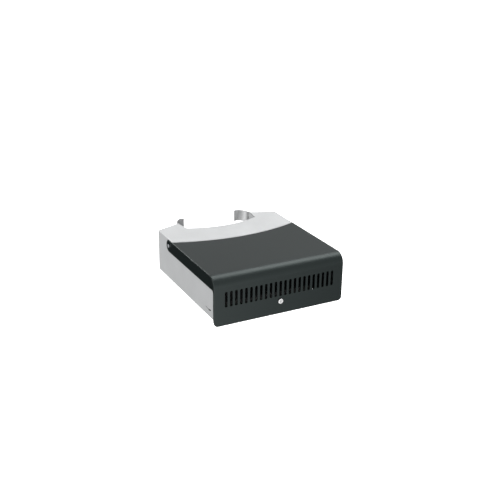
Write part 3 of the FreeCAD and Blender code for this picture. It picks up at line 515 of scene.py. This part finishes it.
def strap_route(low, high):
    """Middle line of the tape: along the floor, down through both slots, under it and back on top."""
    half = STRAP_THICKNESS / 2
    out = high.x - half
    upper = high.z - half
    lower = upper - STRAP_THICKNESS - STRAP_LAP_GAP
    bottom = low.z + half
    corners = [(-STRAP_LAP, lower), (out, lower), (out, bottom), (-out, bottom), (-out, upper)]
    corners.append((STRAP_LAP, upper))
    return rounded_route(corners, STRAP_BEND, STRAP_STEP)


def strap_tape(route, width, middle, bottom):
    """Sections of the tape along its route, narrower at the tips and a little slack on top."""
    points = []
    run = 0.0
    for i, (place, normal) in enumerate(route):
        if i:
            run += (place - route[i - 1][0]).length
        from_end = min(i, len(route) - 1 - i) * STRAP_STEP
        inset = max(0.0, 1 - from_end / STRAP_TIP_LENGTH) ** 2 * STRAP_TIP_INSET
        rib = RIB_RISE * math.cos(2 * math.pi * run / RIB_PITCH)
        on_top = place.y > bottom + SLACK_CLEARANCE and i > len(route) / 2
        slack = SLACK_RISE * (1 + math.sin(run / SLACK_LENGTH)) if on_top else 0.0
        for across, height in strap_section(width - 2 * inset, rib):
            spot = place + normal * height
            points.append((spot.x, middle + across, spot.y + slack))
    return points


def stitch(points, faces, start, end):
    """Adds one stitch: a short raised thread from start to end, dipping in at both ends."""
    start, end = Vector(start), Vector(end)
    along = (end - start).normalized()
    across = along.cross(Vector((0, 0, 1)))
    offset = len(points)
    stations, sides = 5, 6
    for i in range(stations):
        t = i / (stations - 1)
        rise = STITCH_HEIGHT * math.sin(math.pi * t) ** 0.5 - STITCH_RADIUS
        centre = start.lerp(end, t) + Vector((0, 0, rise))
        for j in range(sides):
            a = 2 * math.pi * j / sides
            out, up = STITCH_RADIUS * math.cos(a), STITCH_RADIUS * math.sin(a)
            points.append(centre + across * out + Vector((0, 0, up)))
    faces += tube_faces(stations, sides, False, offset)


def strap_seams(points, faces, middle, top):
    """Box of stitches through the lap: two rows across it and two along it."""
    for row in SEAM_ROWS:
        for i in range(ROW_STITCHES):
            y = middle - SEAM_SIDE + i * ROW_PITCH
            stitch(points, faces, (row, y, top), (row, y + STITCH_LENGTH, top))
    for y in (middle - SEAM_SIDE, middle + SEAM_SIDE):
        for i in range(SIDE_STITCHES):
            x = SIDE_START + i * SIDE_PITCH
            stitch(points, faces, (x, y, top), (x + STITCH_LENGTH, y, top))


def make_strap(name, node):
    """Hook-and-loop strap: round the floor through its slots, lapped and sewn on top."""
    low, high = (Vector(corner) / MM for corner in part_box(node))
    middle = (low.y + high.y) / 2
    route = strap_route(low, high)
    width = high.y - low.y - 2 * STRAP_SIDE_GAP
    points = strap_tape(route, width, middle, low.z + STRAP_THICKNESS / 2)
    faces = tube_faces(len(route), len(points) // len(route), False)
    tape_faces = len(faces)
    strap_seams(points, faces, middle, high.z)
    strap = make_piece(name, points, faces, ("strap_weave", "thread"))
    for face in strap.data.polygons[tape_faces:]:
        face.material_index = 1
    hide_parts(node)


# ---- ribbed column pads -------------------------------------------------------------
FRONT_PAD = (64.3, 15.6)  # start and width, from the middle of the saddle's front arc
SIDE_PAD = (5.2, 23.0)  # start and width, before the saddle's side arc
PAD_COLUMNS = 60
PAD_ROWS = 50
PAD_END_ROWS = [0.45, 1.0]  # extra fine rows where the rim is rounded
PAD_RISE = 1.95
PAD_RIM = 0.9
PAD_GROOVES = 5
PAD_GROOVE_DEPTH = 0.7
PAD_LAND = 1.2  # ungrooved strip along each upright edge
PAD_LIFT = 0.02
PAD_WELD = 0.00001


def on_front_arc(side):
    """Place on the saddle's front arc at x and a height above the steel, towards the column."""

    def place(x, z, height):
        radius = SADDLE_FRONT_RADIUS - height
        share = x / SADDLE_FRONT_RADIUS
        return (side * radius * share, FRONT_CENTRE_Y - radius * math.sqrt(1 - share**2), z)

    return place


def on_side_flat(side):
    """Place on the saddle's flat side at a distance before the side arc, and a height above the steel."""
    lean = (math.cos(SADDLE_LEAN), -math.sin(SADDLE_LEAN))
    along = (math.sin(SADDLE_LEAN), math.cos(SADDLE_LEAN))

    def place(distance, z, height):
        radius = SADDLE_SIDE_RADIUS - height
        x = SIDE_CENTRE_X + radius * lean[0] - along[0] * distance
        return (side * x, radius * lean[1] - along[1] * distance, z)

    return place


def pad_height(across, up, width, height):
    """Profile of a ribbed rubber strip: rounded rim, upright ribs."""
    edge = min(across, width - across, up, height - up)
    rim = math.sqrt(max(0.0, 1 - (1 - min(1.0, edge / PAD_RIM)) ** 2))
    groove = max(0.0, math.cos(2 * math.pi * PAD_GROOVES * across / width)) ** 2
    inside = PAD_RIM < up < height - PAD_RIM and PAD_LAND < across < width - PAD_LAND
    return PAD_RISE * rim - (PAD_GROOVE_DEPTH * groove if inside else 0.0)


def pad_strip(points, faces, place, start, width, low, high):
    """Adds one strip: a ribbed outer skin and a flat inner one, finely divided at both ends."""
    offset = len(points)
    tall = high - low
    heights = [tall * j / PAD_ROWS for j in range(PAD_ROWS + 1)]
    heights[1:3] = PAD_END_ROWS
    heights[-3:-1] = [tall - row for row in reversed(PAD_END_ROWS)]
    for ribbed in (True, False):
        for i in range(PAD_COLUMNS + 1):
            across = width * i / PAD_COLUMNS
            for up in heights:
                rise = pad_height(across, up, width, tall) if ribbed else 0.0
                points.append(place(start + across, low + up, rise + PAD_LIFT))
    column = PAD_ROWS + 1
    for skin in (0, (PAD_COLUMNS + 1) * column):
        for i in range(PAD_COLUMNS):
            for j in range(PAD_ROWS):
                corner = offset + skin + i * column + j
                faces.append((corner, corner + 1, corner + column + 1, corner + column))


def make_pads():
    """Four ribbed rubber strips where the column bears."""
    low, high = (Vector(corner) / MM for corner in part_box("column_pads"))
    points, faces = [], []
    for side in (1, -1):
        pad_strip(points, faces, on_front_arc(side), *FRONT_PAD, low.z, high.z)
        pad_strip(points, faces, on_side_flat(side), *SIDE_PAD, low.z, high.z)
    pads = make_piece("column_pad_strips", points, faces, ("rubber",))
    shaped = bmesh.new()
    shaped.from_mesh(pads.data)
    bmesh.ops.remove_doubles(shaped, verts=shaped.verts, dist=PAD_WELD)
    bmesh.ops.recalc_face_normals(shaped, faces=shaped.faces)
    shaped.to_mesh(pads.data)
    shaped.free()
    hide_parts("column_pads")


# ---- edging of the cable port -------------------------------------------------------
EDGING_STEP = 0.5  # between rings round the port
EDGING_OVERHANG = 1.35  # beyond each face of the sheet
EDGING_GAP = 0.02  # from the sheet
LIP, NOTCHED_LIP = 2.9, 1.2
NOTCH_PITCH, NOTCH_RINGS = 10, 2


def port_route(spacing):
    """Points round the cable port's oblong edge: (x, z, outward x, outward z)."""
    radius = PORT_HEIGHT / 2
    flat = PORT_LENGTH / 2 - radius
    total = 4 * flat + 2 * math.pi * radius
    count = round(total / spacing)
    for i in range(count):
        s = total * i / count
        if s < 2 * flat:
            yield (-flat + s, PORT_Z + radius, 0.0, 1.0)
            continue
        s -= 2 * flat
        if s < math.pi * radius:
            a = math.pi / 2 - s / radius
            yield (flat + radius * math.cos(a), PORT_Z + radius * math.sin(a), math.cos(a), math.sin(a))
            continue
        s -= math.pi * radius
        if s < 2 * flat:
            yield (flat - s, PORT_Z - radius, 0.0, -1.0)
            continue
        a = -math.pi / 2 - (s - 2 * flat) / radius
        yield (-flat + radius * math.cos(a), PORT_Z + radius * math.sin(a), math.cos(a), math.sin(a))


def edging_section(lip):
    """U section that grips the sheet. Points are (outward from the port's edge, across the sheet)."""
    near, far = -EDGING_OVERHANG, SHEET + EDGING_OVERHANG
    return [
        (lip, -EDGING_GAP), (lip + 0.1, -0.5), (lip - 0.35, near + 0.25), (lip - 0.9, near),
        (-0.3, near), (-0.95, near + 0.2), (-1.35, near + 0.65), (-1.48, near + 1.2),
        (-1.48, far - 1.2), (-1.35, far - 0.65), (-0.95, far - 0.2), (-0.3, far),
        (lip - 0.9, far), (lip - 0.35, far - 0.25), (lip + 0.1, SHEET + 0.5), (lip, SHEET + EDGING_GAP),
        (EDGING_GAP, SHEET + EDGING_GAP), (EDGING_GAP, -EDGING_GAP),
    ]


def make_port_edging():
    """Rubber edging whose lips are notched so that it bends round the port's ends."""
    points = []
    rings = 0
    for i, (x, z, out_x, out_z) in enumerate(port_route(EDGING_STEP)):
        lip = NOTCHED_LIP if i % NOTCH_PITCH < NOTCH_RINGS else LIP
        for u, w in edging_section(lip):
            flat_x = x + out_x * u
            radius = SADDLE_FRONT_RADIUS + w
            points.append((flat_x, FRONT_CENTRE_Y - math.sqrt(radius**2 - flat_x**2), z + out_z * u))
        rings += 1
    count = len(edging_section(LIP))
    edging = make_piece("cable_port_edging", points, tube_faces(rings, count, True), ("rubber",))
    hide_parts("cable_port_trim")


# ---- bumpers ------------------------------------------------------------------------
BUMPER_RADIUS = 4.0
BUMPER_SEGMENTS = 40
BUMPER_LIFT = 0.02  # also the small flat on top of the dome
DOME_RADIUS = BUMPER_RADIUS - 0.8
DOME_FOOT = 0.62
DOME_STEPS = 8


def turned(profile, centre, segments, points, faces):
    """Adds a solid turned about an upright axis. profile is (radius, height) from the rim to the top."""
    offset = len(points)
    for radius, height in profile:
        for i in range(segments):
            a = 2 * math.pi * i / segments
            points.append((centre.x + radius * math.cos(a), centre.y + radius * math.sin(a), height))
    faces += tube_faces(len(profile), segments, False, offset)


def make_bumpers():
    """Domed rubber buttons that the closed cover sits on."""
    low, high = (Vector(corner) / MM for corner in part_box("cover_bumpers"))
    dome_height = high.z - low.z - DOME_FOOT - BUMPER_LIFT
    profile = [(BUMPER_RADIUS, 0.0), (BUMPER_RADIUS, 0.35), (BUMPER_RADIUS - 0.15, 0.5)]
    profile += [(BUMPER_RADIUS - 0.6, 0.55), (DOME_RADIUS, DOME_FOOT)]
    for i in range(1, DOME_STEPS + 1):
        a = math.pi / 2 * i / DOME_STEPS
        radius = DOME_RADIUS * math.cos(a) + BUMPER_LIFT
        profile.append((radius, DOME_FOOT + dome_height * math.sin(a)))
    lifted = [(radius, low.z + BUMPER_LIFT + height) for radius, height in profile]
    points, faces = [], []
    for x in (low.x + BUMPER_RADIUS, high.x - BUMPER_RADIUS):
        for y in (low.y + BUMPER_RADIUS, high.y - BUMPER_RADIUS):
            turned(lifted, Vector((x, y, 0)), BUMPER_SEGMENTS, points, faces)
    bumpers = make_piece("cover_buttons", points, faces, ("rubber",))
    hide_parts("cover_bumpers")


# ---- floor, light, camera -----------------------------------------------------------
LIGHT_TARGET = (0.0, -0.25, 0.1)
# Each band of the studio light: strengths at its start and end, then where it starts and ends.
SKY_HEIGHT = (0.03, 0.59, -0.12, 0.3)
SKY_REAR = (0.5, 1.0, -0.6, 0.3)
WINDOW_DIRECTION = (-0.6, -0.8, 0.0)
WINDOW_SPREAD = (0.0, 1.0, 0.1, 0.48)
WINDOW_HEIGHT = (1.0, 0.5, -0.1, 0.3)
ROOM_HALF = 8.0
FLOOR_Z = -0.5
VIEW_AZIMUTH, VIEW_ELEVATION, VIEW_ROLL = (math.radians(a) for a in (-27.54, 21.89, 0.71))
VIEW_TARGET = Vector((0.0028, -0.244, 0.1262))
VIEW_DISTANCE = 2.5326
SENSOR_WIDTH = 36.0
LENS = 59.49


def facing(location, target):
    """Rotation of a lamp at location that points at target."""
    direction = Vector(target) - Vector(location)
    return direction.to_track_quat("-Z", "Y")


def softbox(name, location, size, watts):
    """Rectangular area light that points at the box."""
    light = bpy.data.lights.new(name, "AREA")
    light.shape = "RECTANGLE"
    light.size, light.size_y = size
    light.energy = watts
    lamp = bpy.data.objects.new(name, light)
    lamp.rotation_mode = "QUATERNION"
    lamp.location = location
    lamp.rotation_quaternion = facing(location, LIGHT_TARGET)
    lamp.visible_camera = False
    SCENE.collection.objects.link(lamp)


def make_floor():
    """Plain white floor of a plain white room, well below the box, which hangs on a column."""
    mesh = bpy.data.meshes.new("floor")
    corners = []
    for z in (FLOOR_Z, ROOM_HALF):
        corners += [(ROOM_HALF * x, ROOM_HALF * y, z) for x, y in ((-1, -1), (1, -1), (1, 1), (-1, 1))]
    walls = [(i, (i + 1) % 4, (i + 1) % 4 + 4, i + 4) for i in range(4)]
    mesh.from_pydata(corners, [], [(0, 1, 2, 3), (4, 5, 6, 7)] + walls)
    floor = bpy.data.objects.new("floor", mesh)
    SCENE.collection.objects.link(floor)
    s = Shader("floor_white")
    s.set(Base_Color=(0.9, 0.9, 0.9, 1.0), Roughness=0.9)
    s.set(Emission_Color=(1.0, 1.0, 1.0, 1.0), Emission_Strength=1.0)
    mesh.materials.append(s.material)
    floor.visible_glossy = False
    floor.visible_diffuse = False
    floor.visible_shadow = False


def make_world():
    """Studio light by direction: bright above and behind, bright low in front, dim elsewhere."""
    world = bpy.data.worlds.new("studio")
    SCENE.world = world
    world.use_nodes = True
    tree = world.node_tree
    background = tree.nodes["Background"]
    background.inputs["Color"].default_value = (1.0, 1.0, 1.0, 1.0)
    coordinates = tree.nodes.new("ShaderNodeTexCoord")
    split = tree.nodes.new("ShaderNodeSeparateXYZ")
    tree.links.new(coordinates.outputs["Generated"], split.inputs["Vector"])

    def band(source, low, high, start, end):
        """Smooth change from low to high as the source goes from start to end."""
        node = tree.nodes.new("ShaderNodeMapRange")
        node.interpolation_type = "SMOOTHSTEP"
        for name, value in (("From Min", start), ("From Max", end), ("To Min", low), ("To Max", high)):
            node.inputs[name].default_value = value
        socket = split.outputs[source] if isinstance(source, str) else source.outputs["Value"]
        tree.links.new(socket, node.inputs["Value"])
        return node.outputs["Result"]

    def combine(operation, first, second):
        """Sum or product of two strengths."""
        node = tree.nodes.new("ShaderNodeMath")
        node.operation = operation
        tree.links.new(first, node.inputs[0])
        tree.links.new(second, node.inputs[1])
        return node.outputs["Value"]

    upper = combine("MULTIPLY", band("Z", *SKY_HEIGHT), band("Y", *SKY_REAR))
    window = tree.nodes.new("ShaderNodeVectorMath")
    window.operation = "DOT_PRODUCT"
    window.inputs[1].default_value = WINDOW_DIRECTION
    tree.links.new(coordinates.outputs["Generated"], window.inputs[0])
    front = combine("MULTIPLY", band(window, *WINDOW_SPREAD), band("Z", *WINDOW_HEIGHT))
    tree.links.new(combine("ADD", upper, front), background.inputs["Strength"])


def make_camera():
    """Camera to the left of the front and above it, rolled a little."""
    level = math.cos(VIEW_ELEVATION)
    across, along = math.sin(VIEW_AZIMUTH) * level, -math.cos(VIEW_AZIMUTH) * level
    back = Vector((across, along, math.sin(VIEW_ELEVATION)))
    data = bpy.data.cameras.new("camera")
    data.sensor_width = SENSOR_WIDTH
    data.lens = LENS
    camera = bpy.data.objects.new("camera", data)
    camera.rotation_mode = "QUATERNION"
    camera.location = VIEW_TARGET + back * VIEW_DISTANCE
    turn = (-back).to_track_quat("-Z", "Y")
    camera.rotation_quaternion = turn @ Matrix.Rotation(VIEW_ROLL, 3, "Z").to_quaternion()
    SCENE.collection.objects.link(camera)
    SCENE.camera = camera


make_camera()
make_floor()
make_world()
softbox("key", (-1.8, -2.3, 1.4), (1.8, 1.2), 8.0)
softbox("overhead", (0.97, -0.08, 2.15), (1.5, 1.4), 25.5)
softbox("low_card", (-0.1, -1.75, -0.42), (1.1, 1.1), 2.2)
softbox("rim", (-0.8, 1.75, 1.1), (0.9, 0.5), 13.0)

make_strap("equipment_strap_front", "strap_front")
make_strap("equipment_strap_rear", "strap_rear")
make_pads()
make_port_edging()
make_bumpers()

SCENE.view_settings.view_transform = "Standard"
